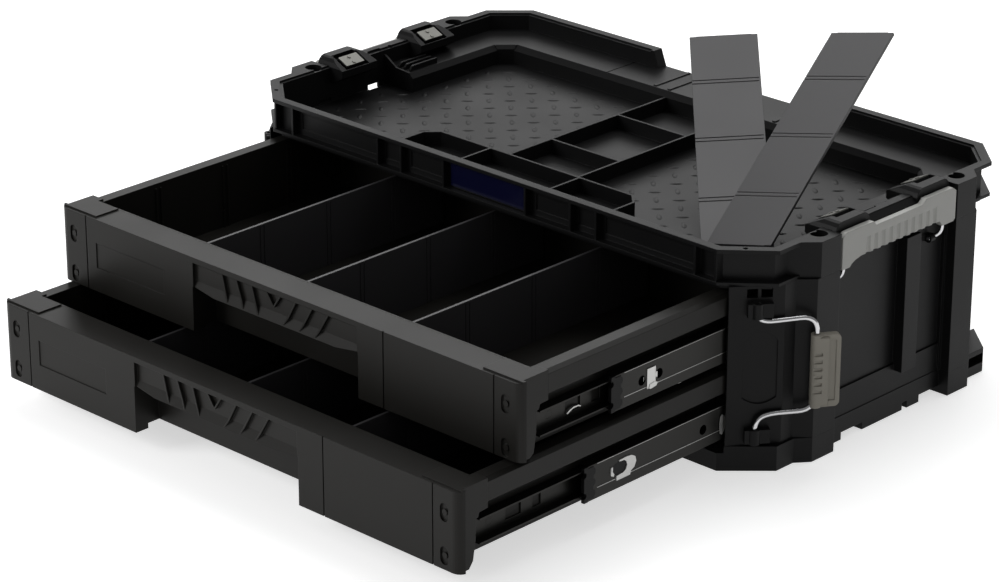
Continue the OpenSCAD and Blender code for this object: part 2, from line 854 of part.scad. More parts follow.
// end of a front, clear of the closed slide and tapering towards its foot
module cheek(h) {
  case_lip_z = slide_drop - case_member_h / 2;
  stop_z = slide_drop - mid_member_h / 2;
  difference() {
    translate([tw - 1, 0, 0]) rotate([90, 0, 90]) linear_extrude(dw - tw + 1) polygon([
      [5, 0],
      [28, 0],
      [28, -case_lip_z + 1],
      [case_member_lip_front - 0.3, -case_lip_z + 0.4],
      [mid_front - 2.4, -stop_z + 0.7],
      [mid_front - 4.5, -stop_z + 0.3],
      [mid_front - 5, -42],
      [13.5, -57],
      [9.5, -h],
      [5, -h],
    ]);
    slab(tw - 2, tw, front_d, 29, -h - 1, 1);
  }
}

module drawer_front(h, label_z) {
  pad_in = 36;
  keeper_x = dw - 12;
  color(black) difference() {
    union() {
      translate([0, 0, -h]) linear_extrude(h) {
        face_half();
        mirror([1, 0]) face_half();
      }
      slab(-tw, tw, 8.5, front_d, -tub_depth - tub_t, 0);
      both() cheek(h);
      // raised corner blocks
      both() translate([0, 0, -1]) linear_extrude(2.2) intersection() {
        face_half();
        translate([dw - pad_in, 0.5]) square([pad_in + front_wing + 1, 20]);
      }
      both() slab(dw - pad_in, dw, 8.5, front_d, -1, 1.2);
      both() slab(tw, dw, front_d - 1, 28, -1, 1.2);
    }
    // room for the hand under the lip and up behind it
    translate([0, front_d - skin, 0]) rotate([90, 0, 0]) linear_extrude(front_d + front_out)
      polygon([
        [pull_left_x, -h - 1],
        [pull_left_x, -pull_lip_h + 3],
        [lip_left_x, -pull_lip_h],
        [lip_right_x, -pull_lip_h],
        [pull_right_x, -pull_lip_h + 3],
        [pull_right_x, -h - 1],
      ]);
    slab(pull_left_x, pull_right_x, lip_t - front_out, front_d - skin, -h - 1, -3);
    // hollow face of the lip, with a ramp along its lower edge and ribs left standing
    difference() {
      translate([pull_left_x + 0.8, -front_out, 0]) rotate([90, 0, 90])
        linear_extrude(pull_right_x - pull_left_x - 1.6) polygon([
          [-1, -4.5],
          [lip_hollow, -4.5],
          [lip_hollow, -19.5],
          [0, -pull_lip_h],
          [-1, -pull_lip_h],
        ]);
      for (r = lip_ribs) translate([0, -front_out, 0]) lip_rib(r);
    }
    // hollow behind the rest of the face
    slab(-tw + 12, pull_left_x - 4, 0.7, front_d - 2, -h - 1, -3);
    slab(pull_right_x + 4, tw - 12, 0.7, front_d - 2, -h - 1, -3);
    // label recess, end grooves and seam
    translate([0, -front_out, 0]) {
      slab(-dw + 38, -dw + 116, -1, 0.7, label_z, label_z + 20.5);
      for (x = [-dw + 27, dw - 23, pull_right_x + 26])
        slab(x - 0.6, x + 0.6, -1, 1, -h - 1, 3);
      // keeper studs for the drawer lock, each in its round-ended recess
      both() for (z = [-18.5, -51.5]) difference() {
        union() {
          for (e = [-3, 3]) translate([keeper_x, 1.5, z + e]) rotate([90, 0, 0])
            cylinder(r = 4, h = 3);
          slab(keeper_x - 4, keeper_x + 4, -1, 1.5, z - 3, z + 3);
        }
        translate([keeper_x, 2, z]) rotate([90, 0, 0]) cylinder(r = 2.4, h = 1.6);
      }
    }
  }
}

module drawer_tub() {
  floor_z = -tub_depth;
  color(dark) difference() {
    union() {
      difference() {
        slab(-tw, tw, front_d, drawer_d, floor_z - tub_t, 0);
        slab(-tw + tub_t, tw - tub_t, front_d + tub_t, drawer_d - tub_t, floor_z, 1);
      }
      // skirt over the slides
      both() translate([0, drawer_d, 0]) rotate([90, 0, 0]) linear_extrude(drawer_d - 28)
        polygon([
          [tw - 0.5, -skirt_t],
          [tw - 0.5, 0],
          [dw - 4, 0],
          [dw, -2],
          [dw, -skirt_h],
          [dw - 1.8, -skirt_h],
          [dw - 1.8, -skirt_t],
        ]);
      both() for (y = [60:70:drawer_d - 10])
        slab(tw - 0.5, dw - 1, y, y + 1.6, -skirt_h + 4, -skirt_t + 0.5);
      // guides that hold the dividers
      for (x = [-divider_x, 0, divider_x]) for (s = [-1, 1]) {
        slab(x + s * 2.6 - 0.8, x + s * 2.6 + 0.8, front_d + 1, front_d + 5, floor_z - 1, -4);
        slab(x + s * 2.6 - 0.8, x + s * 2.6 + 0.8, drawer_d - 5, drawer_d - 1, floor_z - 1, -4);
      }
      // ribs inside the side walls, in line with the divider grooves
      both() for (y = groove_y) for (s = [-1, 1])
        slab(tw - 3.2, tw - 1, front_d + tub_t + y + s * 2.4 - 0.7,
          front_d + tub_t + y + s * 2.4 + 0.7, floor_z - 1, -4);
    }
    both() for (y = drawer_screw_y) translate([tw - 6, y, -slide_drop]) rotate([0, 90, 0])
      cylinder(d = screw_d + 0.1, h = 8);
  }
}

// a divider panel lying flat: x across, y along, z through
module divider_panel() {
  half = divider_t / 2;
  difference() {
    union() {
      slab(0, divider_h, 0, divider_l, -half, half);
      slab(divider_tab, divider_h - divider_tab, -divider_tab_t, divider_l + divider_tab_t,
        -half, half);
    }
    for (y = groove_y) for (s = [-1, 1]) for (z = [-half - 1, half - 0.5])
      slab(-1, divider_h - 1.5, y + s * 2 - 0.6, y + s * 2 + 0.6, z, z + 1.5);
  }
}

module standing_divider(x) {
  color(grey) translate([x, front_d + tub_t + divider_gap, -tub_depth]) rotate([0, -90, 0])
    divider_panel();
}

module at_upper() {
  translate([0, upper_y, upper_top]) children();
}

module at_lower() {
  translate([0, lower_y, lower_top]) children();
}

module upper_drawer_front() at_upper() drawer_front(upper_front_h, -40);
module lower_drawer_front() at_lower() drawer_front(lower_front_h, -41);
module upper_drawer_tub() at_upper() drawer_tub();
module lower_drawer_tub() at_lower() drawer_tub();
module upper_left_divider() at_upper() standing_divider(-divider_x);
module upper_middle_divider() at_upper() standing_divider(0);
module upper_right_divider() at_upper() standing_divider(divider_x);
module lower_left_divider() at_lower() standing_divider(-divider_x);
module lower_middle_divider() at_lower() standing_divider(0);
module lower_right_divider() at_lower() standing_divider(divider_x);

/* ---------- slides: z = 0 is the middle of the slide ---------- */

// a channel open towards -x when lip < web
module channel(web, lip, h, y0, y1) {
  x0 = min(web, lip);
  x1 = max(web + (lip < web ? sheet : 0), lip);
  slab(web, web + sheet, y0, y1, -h / 2, h / 2);
  slab(x0, x1, y0, y1, h / 2 - sheet, h / 2);
  slab(x0, x1, y0, y1, -h / 2, -h / 2 + sheet);
}

module right_drawer_member(y) {
  color(dark) translate([0, y, 0]) difference() {
    channel(x_drawer_web, x_drawer_lip, drawer_member_h, drawer_member_front,
      drawer_member_front + drawer_member_l);
    for (s = drawer_screw_y) translate([x_drawer_web - 1, s, 0]) rotate([0, 90, 0]) {
      cylinder(d = screw_d + 0.1, h = sheet + 2);
      translate([0, 0, 1 + sheet - screw_head_t])
        cylinder(d = screw_head_d + 0.1, h = screw_head_t + 1);
    }
    // punched windows near the front
    for (w = [[33, 48.7], [60.5, 69]]) slab(x_drawer_web - 1, x_drawer_web + sheet + 1,
      drawer_member_front + w[0], drawer_member_front + w[1], -5, 5);
  }
}

module right_mid_member(y) {
  color(dark) difference() {
    channel(x_mid_web, x_mid_lip, mid_member_h, fy + mid_front - y, fy + slide_rear - y);
    for (s = mid_hole_y) translate([x_mid_web - 1, fy + mid_front + s - y, 1]) rotate([0, 90, 0])
      cylinder(r = 3.8, h = sheet + 2);
  }
}

module right_case_member() {
  color(dark) difference() {
    union() {
      channel(x_case_web, x_case_lip, case_member_h, fy + case_member_lip_front, fy + slide_rear);
      slab(x_case_web, x_case_web + sheet, fy + case_member_front,
        fy + case_member_lip_front + 1, -11, 11);
    }
    for (s = case_screw_y) translate([x_case_web - 1, fy + s, 0]) rotate([0, 90, 0]) {
      cylinder(d = screw_d + 0.1, h = sheet + 2);
      cylinder(d = screw_head_d + 0.1, h = screw_head_t + 1);
    }
  }
}

module upper_slide() translate([0, 0, upper_top - slide_drop]) children();
module lower_slide() translate([0, 0, lower_top - slide_drop]) children();

module upper_right_case_member() upper_slide() right_case_member();
module upper_left_case_member() upper_slide() mirror([1, 0, 0]) right_case_member();
module lower_right_case_member() lower_slide() right_case_member();
module lower_left_case_member() lower_slide() mirror([1, 0, 0]) right_case_member();
module upper_right_middle_member() upper_slide() right_mid_member(upper_mid_open);
module upper_left_middle_member()
  upper_slide() mirror([1, 0, 0]) right_mid_member(upper_mid_open);
module lower_right_middle_member() lower_slide() right_mid_member(lower_mid_open);
module lower_left_middle_member()
  lower_slide() mirror([1, 0, 0]) right_mid_member(lower_mid_open);
module upper_right_drawer_member() upper_slide() right_drawer_member(upper_y);
module upper_left_drawer_member() upper_slide() mirror([1, 0, 0]) right_drawer_member(upper_y);
module lower_right_drawer_member() lower_slide() right_drawer_member(lower_y);
module lower_left_drawer_member() lower_slide() mirror([1, 0, 0]) right_drawer_member(lower_y);

// plastic end pieces on the front of the middle members
module end_stops(mid_open) {
  y0 = fy + mid_front - mid_open;
  stop_l = 4;
  cover_l = 9;
  cover_t = 0.4;
  x0 = x_mid_web + sheet;
  color(black) both() {
    difference() {
      slab(x_mid_web - 1.3, x0 + cover_t, y0 - stop_l, y0, -mid_member_h / 2, mid_member_h / 2);
      for (z = [-8, 8]) translate([x_mid_web - 3, y0 - stop_l, z]) rotate([0, 90, 0])
        cylinder(r = 2.4, h = 7);
    }
    slab(x0, x0 + cover_t, y0 - 1, y0 + cover_l - 3, -12.5, 12.5);
    for (z = [-8.5, 0, 8.5]) translate([x0, y0 + cover_l - 4, z]) rotate([0, 90, 0])
      cylinder(r = 3.2, h = cover_t);
  }
}

// sprung release levers on the middle members
module release_levers(mid_open) {
  y0 = fy + mid_front - mid_open + 34;
  lever_l = 9;
  x0 = x_mid_web + sheet;
  color(steel) both() {
    slab(x0, x0 + 0.7, y0, y0 + lever_l, -7, 8.5);
    slab(x0 - sheet - 1.2, x0 - sheet, y0 - 2, y0 + lever_l + 4, -2.5, 2.5);
  }
}

module ball_rows(x, z, d, y, l) {
  strip_t = 0.7;
  strip_w = 4.4;
  pitch = 10;
  color(steel) both() for (s = [-1, 1]) translate([0, fy + y, s * z]) {
    slab(x - strip_w / 2, x + strip_w / 2, 0, l, -strip_t / 2, strip_t / 2);
    for (i = [0:floor((l - 10) / pitch)]) translate([x, 5 + i * pitch, 0]) sphere(d = d);
  }
}

module upper_end_stops() upper_slide() end_stops(upper_mid_open);
module lower_end_stops() lower_slide() end_stops(lower_mid_open);
module upper_release_levers() upper_slide() release_levers(upper_mid_open);
module lower_release_levers() lower_slide() release_levers(lower_mid_open);

// balls between case and middle members travel half as far as the middle member
module upper_outer_ball_cages() upper_slide() ball_rows(tw + 7.4, outer_ball_z, outer_ball_d,
  outer_cage_y - upper_mid_open / 2, outer_cage_l);
module lower_outer_ball_cages() lower_slide() ball_rows(tw + 7.4, outer_ball_z, outer_ball_d,
  outer_cage_y - lower_mid_open / 2, outer_cage_l);

// balls between middle and drawer members travel as the mean of the two
module upper_inner_ball_cages() upper_slide() ball_rows(tw + 6, inner_ball_z, inner_ball_d,
  inner_cage_y - (upper_mid_open + upper_open) / 2, inner_cage_l);
module lower_inner_ball_cages() lower_slide() ball_rows(tw + 6, inner_ball_z, inner_ball_d,
  inner_cage_y - (lower_mid_open + lower_open) / 2, inner_cage_l);

// a screw along +x with its head sunk in the sheet
module screw(x, y, grip) {
  translate([x, y, 0]) rotate([0, 90, 0]) {
    cylinder(d = screw_head_d, h = screw_head_t);
    cylinder(d = screw_d, h = grip);
  }
}

module case_slide_screws() {
  color(steel) for (top = [upper_top, lower_top]) translate([0, 0, top - slide_drop]) both()
    for (y = case_screw_y) screw(x_case_web, fy + y, sheet + skin);
}

module drawer_slide_screws(y) {
  color(steel) both() for (s = drawer_screw_y) mirror([1, 0, 0])
    screw(-x_drawer_web - sheet, y + s, sheet + tub_t);
}

module upper_drawer_screws() upper_slide() drawer_slide_screws(upper_y);
module lower_drawer_screws() lower_slide() drawer_slide_screws(lower_y);

/* ---------- drawer locks ---------- */

pivot_h = 12;
pivot_z = [plinth_h + 2.5, split_z - 24];
lock_top_z = pivot_z[1] - 4;
lock_low_z = pivot_z[0] + pivot_h + 11;
lock_grip_top = lock_top_z - 12.5;
lock_grip_low = lock_low_z + lock_wire_d / 2 + 1;
lock_grip_in = 5;
lock_grip_out = 18;
lock_grip_t = 9;

module at_lock() {
  at_post() translate([0, -pivot_out, 0]) rotate([0, 0, lock_angle - post_a]) children();
}

module rod(p, q, d) {
  v = q - p;
  l = norm(v);
  translate(p) rotate([0, acos(v[2] / l), atan2(v[1], v[0])]) cylinder(d = d, h = l);
}

module wire(points, d) {
  for (i = [0:len(points) - 2]) rod(points[i], points[i + 1], d);
  for (i = [1:len(points) - 2]) translate(points[i]) sphere(d = d);
}

module right_bail() {
  color(steel) at_lock() wire([
    [0, 0, pivot_z[1] + pivot_h - 0.5],
    [0, 0, lock_top_z],
    [lock_reach, 0, lock_top_z],
    [lock_reach, 0, lock_low_z],
    [0, 0, lock_low_z],
    [0, 0, pivot_z[0] + 0.5],
  ], lock_wire_d);
}

// a sleeve round the wire with finger ribs, and a tab with a raised border
module right_lock_pad() {
  t = lock_grip_t;
  tab_t = 5;
  border = 3.5;
  h = lock_grip_top - lock_grip_low;
  color(pale) at_lock() translate([lock_reach, 0, lock_grip_low]) difference() {
    union() {
      cylinder(d = t, h = h);
      slab(0, lock_grip_out - 4, -tab_t / 2, tab_t / 2, 0, h);
      slab(0, lock_grip_out, -tab_t / 2, tab_t / 2, 4, h - 4);
      for (z = [4, h - 4]) translate([lock_grip_out - 4, 0, z]) rotate([90, 0, 0])
        cylinder(r = 4, h = tab_t, center = true);
      // thicker middle
      slab(0, 8.5, -t / 2, t / 2, 2, h - 2);
    }
    translate([0, 0, -1]) cylinder(d = lock_wire_d + 0.1, h = h + 2);
    // sunk field inside the border
    for (s = [-1, 1]) translate([0, s * tab_t / 2, 0])
      slab(8.5, lock_grip_out - border, -0.8, 0.8, 5, h - 5);
    // finger ribs
    for (z = [h / 2 - 16:6:h / 2 + 17]) for (s = [-1, 1]) translate([0, s * t / 2, z])
      slab(-t, 3.5, -1, 1, -1.2, 1.2);
  }
}

module right_lock_wire() right_bail();
module left_lock_wire() mirror([1, 0, 0]) right_bail();
module right_lock_grip() right_lock_pad();
module left_lock_grip() mirror([1, 0, 0]) right_lock_pad();

/* ---------- side handles ---------- */

module handle_wire_end(y, into, grip) {
  wire([
    [handle_wire_x, y + grip, handle_bar_z],
    [handle_wire_x, y, handle_bar_z],
    [handle_wire_x, y, handle_axis_z],
    [handle_axis_x, y, handle_axis_z],
    [handle_axis_x, into, handle_axis_z],
  ], handle_wire_d);
}

// both ends of the wire point to the front, into the pillar and the rear lug
module right_handle_bar() {
  color(steel) translate([0, recess_mid, 0]) {
    handle_wire_end(handle_leg_front, pillar_f1 - recess_mid - skin - 1, handle_wire_in);
    handle_wire_end(handle_leg_rear, lug_y - lug_w / 2 - 0.5, -handle_wire_in);
  }
}

module right_handle_pad() {
  ridge_r = 3.4;
  ridge_pitch = 8.9;
  ridge_front = 29.95;
  ridge_rear = 25.95;
  ridge_h = 14;
  half = handle_l / 2;
  z_low = case_h - 24;
  z_leg = case_h - 29.5;
  z_mid = case_h - 4.5;
  color(grey) translate([0, recess_mid, 0]) difference() {
    translate([handle_x0, 0, 0]) rotate([90, 0, 90]) linear_extrude(handle_t) polygon([
      [-half, z_leg],
      [-half, case_h - 4],
      [-half + 4, case_h - 1],
      [-half + 36, case_h - 1],
      [-half + 39, z_mid],
      [half - 41, z_mid],
      [half - 37, case_h - 1],
      [half - 4, case_h - 1],
      [half, case_h - 4],
      [half, z_leg + 3],
      [half - 2, z_leg + 1],
      [half - 16, z_leg + 1],
      [half - 17.5, z_low - 2],
      [half - 19, z_low],
      [-half + 22, z_low],
      [-half + 15, z_low - 1.5],
      [-half + 11, z_leg + 2],
      [-half + 9, z_leg],
    ]);
    // finger ridges, left standing between upright grooves
    for (i = [0:floor((handle_l - ridge_front - ridge_rear) / ridge_pitch + 0.1)])
      translate([hw + ridge_r - 1.3, -half + ridge_front + i * ridge_pitch, z_low - 1])
      cylinder(r = ridge_r, h = ridge_h);
    // channels for the wire
    for (y = [handle_leg_front, handle_leg_rear])
      translate([handle_wire_x, y, handle_bar_z]) {
        translate([0, 0, z_leg - 2 - handle_bar_z])
          cylinder(d = handle_wire_d + 0.1, h = handle_bar_z - z_leg + 2);
        sphere(d = handle_wire_d + 0.1);
        rotate([y > 0 ? 90 : -90, 0, 0])
          cylinder(d = handle_wire_d + 0.1, h = handle_wire_in + 0.2);
      }
  }
}

module right_handle_wires() right_handle_bar();
module left_handle_wires() mirror([1, 0, 0]) right_handle_bar();
module right_handle_grip() right_handle_pad();
module left_handle_grip() mirror([1, 0, 0]) right_handle_pad();

/* ---------- loose dividers leaning in the tray ---------- */

loose_a_at = [bench_x - 43.6, fy + 45.1, tray_floor_z + 1.5];
loose_b_at = [bench_x - 42.8, fy + 50.4, tray_floor_z + 6.2];

module first_loose_divider() {
  color(grey) translate(loose_a_at) rotate([0, 0, loose_a_turn]) rotate([loose_a_slope, 0, 0])
    rotate([0, 0, loose_a_roll]) divider_panel();
}

module second_loose_divider() {
  color(grey) translate(loose_b_at) rotate([0, 0, loose_b_turn]) rotate([loose_b_slope, 0, 0])
    rotate([0, 0, loose_b_roll]) divider_panel();
}

top_tray();
left_side_wall();
right_side_wall();
back_panel();
base_panel();
front_badge();
front_left_strike_plate();
front_right_strike_plate();
rear_left_strike_plate();
rear_right_strike_plate();
strike_plate_rivets();
upper_left_case_member();
upper_right_case_member();
lower_left_case_member();
lower_right_case_member();
case_slide_screws();
upper_drawer_front();
upper_drawer_tub();
upper_left_divider();
upper_middle_divider();
upper_right_divider();
upper_left_drawer_member();
upper_right_drawer_member();
upper_drawer_screws();
lower_drawer_front();
lower_drawer_tub();
lower_left_divider();
lower_middle_divider();
lower_right_divider();
lower_left_drawer_member();
lower_right_drawer_member();
lower_drawer_screws();
upper_left_middle_member();
upper_right_middle_member();
upper_end_stops();
upper_release_levers();
lower_left_middle_member();
lower_right_middle_member();
lower_end_stops();
lower_release_levers();
upper_outer_ball_cages();
upper_inner_ball_cages();
lower_outer_ball_cages();
lower_inner_ball_cages();
left_lock_wire();
left_lock_grip();
right_lock_wire();
right_lock_grip();
left_handle_wires();
left_handle_grip();
right_handle_wires();
right_handle_grip();
first_loose_divider();
second_loose_divider();
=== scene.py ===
# %% [markdown]
# # A stackable tool box with two open drawers
# The solid parts come from the CAD model and stay where they are. This script gives them
# their finishes, adds the fine moulded and pressed detail that a solid model leaves out,
# and sets up a plain studio.
#
# The first step loads the solid parts. They arrive as mesh objects hanging from empties; their
# placements are baked into the meshes and the empties are removed. Each added piece hangs from
# one empty for each moving body, so that it only has to name the body that it rides on.
# Lengths are written in millimetres, as on a drawing, and turned into Blender's metres once.

# %% Load the solid parts
import json
import math

import bpy
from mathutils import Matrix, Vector


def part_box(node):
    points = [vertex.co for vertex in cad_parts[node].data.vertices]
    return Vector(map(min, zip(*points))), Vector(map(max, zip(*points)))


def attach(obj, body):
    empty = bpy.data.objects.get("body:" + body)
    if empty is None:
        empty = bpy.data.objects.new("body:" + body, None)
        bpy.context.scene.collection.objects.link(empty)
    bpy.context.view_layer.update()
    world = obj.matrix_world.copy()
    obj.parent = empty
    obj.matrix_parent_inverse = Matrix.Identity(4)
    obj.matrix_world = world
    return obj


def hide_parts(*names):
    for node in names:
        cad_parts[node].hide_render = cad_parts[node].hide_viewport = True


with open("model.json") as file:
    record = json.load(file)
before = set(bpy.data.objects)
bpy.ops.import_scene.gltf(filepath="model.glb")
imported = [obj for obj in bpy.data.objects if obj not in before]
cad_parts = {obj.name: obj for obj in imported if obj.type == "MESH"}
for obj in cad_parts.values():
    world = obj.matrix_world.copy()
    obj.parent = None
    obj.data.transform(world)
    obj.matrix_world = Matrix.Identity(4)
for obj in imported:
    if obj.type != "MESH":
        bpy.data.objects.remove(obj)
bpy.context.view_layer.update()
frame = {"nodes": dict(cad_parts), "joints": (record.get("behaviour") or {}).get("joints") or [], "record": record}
nodes = frame["nodes"]
MM = 0.001

# %% [markdown]
# ## Writing a finish as an expression
# A material is a graph of small nodes. It could be wired by hand in the shader editor, or
# line by line here, but the maths of it then drowns in links. So one class wraps a socket
# and lets Python's operators add the Math nodes, in both orders: `mask - 1` and `1 - mask`.
# Every other node comes from `Finish.node`, which takes the node's type, its settings and
# its sockets.

# %% A socket that understands arithmetic
class Value:
    def __init__(self, finish, socket):
        self.finish = finish
        self.socket = socket

    def math(self, operation, first, second):
        return self.finish.node("ShaderNodeMath", {"operation": operation}, {0: first, 1: second})

    def __add__(self, other):
        return self.math("ADD", self, other)

    def __radd__(self, other):
        return self.math("ADD", other, self)

    def __sub__(self, other):
        return self.math("SUBTRACT", self, other)

    def __rsub__(self, other):
        return self.math("SUBTRACT", other, self)

    def __mul__(self, other):
        return self.math("MULTIPLY", self, other)

    def __rmul__(self, other):
        return self.math("MULTIPLY", other, self)


# %% A material being built
class Finish:
    def __init__(self, name):
        self.material = bpy.data.materials.new(name)
        self.material.use_nodes = True
        self.tree = self.material.node_tree
        self.tree.nodes.clear()

    def node(self, kind, settings, sockets, output=0):
        made = self.tree.nodes.new(kind)
        for key, setting in settings.items():
            setattr(made, key, setting)
        for key, given in sockets.items():
            if isinstance(given, Value):
                self.tree.links.new(given.socket, made.inputs[key])
            else:
                made.inputs[key].default_value = given
        return Value(self, made.outputs[output]) if made.outputs else None

    def mix(self, factor, first, second):
        """A blend of two colours; a Mix node keeps its colour sockets at 6, 7 and 2."""
        sockets = {0: factor, 6: first, 7: second}
        return self.node("ShaderNodeMix", {"data_type": "RGBA"}, sockets, output=2)

    def noise(self, place, scale, detail):
        sockets = {"Vector": place, "Scale": scale, "Detail": detail}
        return self.node("ShaderNodeTexNoise", {}, sockets)

    def rounded_edges(self, radius_mm):
        return self.node("ShaderNodeBevel", {"samples": 6}, {"Radius": radius_mm * MM})

    def surface(self, sockets):
        shader = self.node("ShaderNodeBsdfPrincipled", {}, sockets)
        self.node("ShaderNodeOutputMaterial", {}, {"Surface": shader})
        return self.material


# %% [markdown]
# ## Moulded plastic
# The case, the drawers, the dividers and the grips are injection-moulded: satin, with a fine
# spark-eroded grain. Real moulded edges are never sharp. They could be cut round with a
# Bevel modifier, but that can break the thin ribs of such a part, so a Bevel node rounds only
# the shading of each edge, by about half a millimetre, and lets it catch the light.
#
# The grain is finer than a pixel at this distance, so a Bump node is enough for it and no
# real displacement is needed. A slow noise varies the roughness and the tone a little, as
# handled plastic does.

# %% A grained plastic
PATCH_SCALE, GRAIN_SCALE = 14.0, 900.0
GRAIN_DEPTH = 0.4 * MM
ROUGHNESS_SWING = 0.12
LIGHTER_TONE = 1.25


def rgb(r, g, b):
    return (r, g, b, 1.0)


def grained_plastic(name, colour, roughness, edge_mm=0.6, grain=0.05, specular=0.35):
    finish = Finish(name)
    place = finish.node("ShaderNodeTexCoord", {}, {}, output="Object")
    patches = finish.noise(place, PATCH_SCALE, 3.0)
    speckle = finish.noise(place, GRAIN_SCALE, 2.0)
    bumped = finish.node("ShaderNodeBump", {}, {
        "Strength": grain, "Distance": GRAIN_DEPTH, "Height": speckle,
        "Normal": finish.rounded_edges(edge_mm)})
    lighter = tuple(LIGHTER_TONE * c for c in colour)
    return finish.surface({
        "Base Color": finish.mix(patches, rgb(*colour), rgb(*lighter)),
        "Roughness": roughness + ROUGHNESS_SWING * (patches - 0.5),
        "Specular IOR Level": specular,
        "Normal": bumped,
    })


# %% [markdown]
# ## The colours of the plastic
# The blacks aren't alike. The case is a neutral black, the drawers are a slightly warmer
# one, and the thin dividers are a paler polypropylene that looks nearly grey where they lie
# in the open. A single black would hide where one moulding ends and the next begins.

# %% The plastics
case_black = grained_plastic("case black", (0.0060, 0.0060, 0.0062), 0.42, specular=0.13)
drawer_black = grained_plastic("drawer black", (0.0110, 0.0104, 0.0092), 0.40, specular=0.15)
divider_black = grained_plastic("divider black", (0.032, 0.031, 0.033), 0.40, grain=0.02)
stop_black = grained_plastic("stop black", (0.006, 0.006, 0.006), 0.45, specular=0.13)
handle_grey = grained_plastic("handle grip grey", (0.38, 0.38, 0.362), 0.40, edge_mm=1.0)
lock_grey = grained_plastic("lock grip grey", (0.26, 0.245, 0.21), 0.42, edge_mm=1.0)
name_navy = grained_plastic("name panel navy", (0.003, 0.0035, 0.022), 0.25, grain=0.0)
print("plastics:", len(bpy.data.materials))

# %% [markdown]
# ## Metals
# The slides are cold-rolled steel with a black zinc finish, the wires are chromed, the
# screws and levers are bright zinc, and the catch plates have gone dull. Each could have a
# shader of its own, but they differ only in colour and polish, so one function makes them
# all. A noise that is stretched along the length gives the zinc its brushed look.

# %% The metals
STREAK_SCALE = (900.0, 12.0, 900.0)


def metal(name, colour, roughness, metallic=1.0, edge_mm=0.4, streaks=0.06):
    finish = Finish(name)
    place = finish.node("ShaderNodeTexCoord", {}, {}, output="Object")
    along = finish.node("ShaderNodeMapping", {}, {"Vector": place, "Scale": STREAK_SCALE})
    drawn = finish.noise(along, 1.0, 2.0)
    return finish.surface({
        "Base Color": rgb(*colour),
        "Metallic": metallic,
        "Roughness": roughness + streaks * (drawn - 0.5),
        "Normal": finish.rounded_edges(edge_mm),
    })


black_zinc = metal("black zinc", (0.018, 0.0175, 0.016), 0.34, metallic=0.8)
bright_zinc = metal("bright zinc", (0.50, 0.50, 0.49), 0.32)
dull_zinc = metal("dull zinc", (0.19, 0.19, 0.175), 0.45)
chrome = metal("chrome", (0.54, 0.54, 0.55), 0.10, streaks=0.0)
print("plastics and metals:", len(bpy.data.materials))

# %% [markdown]
# ## Dressing the solid parts
# The model's record gives every solid part the name of a finish slot, such as `case_black`
# or `chrome_wire`. The parts could be dressed one by one, but a table from slot to finish
# follows the record, so a part that is added to the model later gets its finish by itself.

# %% Dress every solid part
FINISHES = {
    "case_black": case_black,
    "drawer_black": drawer_black,
    "divider_grey": divider_black,
    "stop_black": stop_black,
    "handle_grip_grey": handle_grey,
    "lock_grip_grey": lock_grey,
    "name_panel": name_navy,
    "slide_black": black_zinc,
    "bright_steel": bright_zinc,
    "catch_plate_steel": dull_zinc,
    "chrome_wire": chrome,
}
for subpart in frame["record"]["subparts"]:
    part = nodes[subpart["node"]]
    part.data.materials.clear()
    part.data.materials.append(FINISHES[subpart["material_slot"]])
    for polygon in part.data.polygons:
        polygon.material_index = 0


# %% [markdown]
# ## Adding a piece
# Every added piece has a finish, named by a slot, and a body that carries it. One function
# gives it both, and a second one writes a mesh straight from its points and faces. Blender's
# own primitives could be scaled and joined, but a list of points says exactly where each
# corner is.

# %% Make a piece from points
SIDES = ((-1, "left"), (1, "right"))


def add_piece(piece, slot, body):
    bpy.context.scene.collection.objects.link(piece)
    piece.data.materials.append(FINISHES[slot])
    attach(piece, body)
    return piece


def mesh_piece(name, points, faces, slot, body):
    mesh = bpy.data.meshes.new(name)
    mesh.from_pydata([Vector(p) * MM for p in points], [], faces)
    mesh.update()
    return add_piece(bpy.data.objects.new(name, mesh), slot, body)


# %% [markdown]
# ## Where the tray floor is open
# The floor of the tray carries a raised tread, so that tools don't slide. The tread stops
# at the bins along the front, at the column of bins in the middle, under the benches at the
# ends and in the cut front corners. A picture texture could carry it, but real geometry
# catches the light from every side, and there is little enough of it.

# %% The open parts of the floor
FLOOR_THICKNESS = 2.0
FLOOR_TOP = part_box("top_tray")[0][2] / MM + FLOOR_THICKNESS
FLOOR_REACH_X, FLOOR_FRONT_Y, FLOOR_REAR_Y = 250, -138, 99
FRONT_BINS = {"left": -139, "right": 105, "rear": -70}
BIN_COLUMN = {"left": -53, "right": 38}
SIDE_BENCH = {"inner": 218, "front": -14}
FRONT_CORNER = {"inner": 226, "rear": -114}


def on_open_floor(x, y):
    """True where the floor is free of bins, benches and walls, with room for an oval."""
    in_bins = FRONT_BINS["left"] < x < FRONT_BINS["right"] and y < FRONT_BINS["rear"]
    in_column = BIN_COLUMN["left"] < x < BIN_COLUMN["right"]
    under_bench = abs(x) > SIDE_BENCH["inner"] and y > SIDE_BENCH["front"]
    in_corner = abs(x) > FRONT_CORNER["inner"] and y < FRONT_CORNER["rear"]
    at_wall = abs(x) > FLOOR_REACH_X or not FLOOR_FRONT_Y <= y <= FLOOR_REAR_Y
    return not (in_bins or in_column or under_bench or in_corner or at_wall)


print("tray floor at", round(FLOOR_TOP, 2), "mm")

# %% [markdown]
# ## The tread
# The tread is made of low ovals on a square lattice, each row turned by 90 degrees from the
# next. An oval is a ring of points on the floor and a smaller ring above it, joined by a
# sloping side. An object for each oval would be hundreds of objects, so one mesh holds them
# all. Smooth shading makes each look like a pillow.

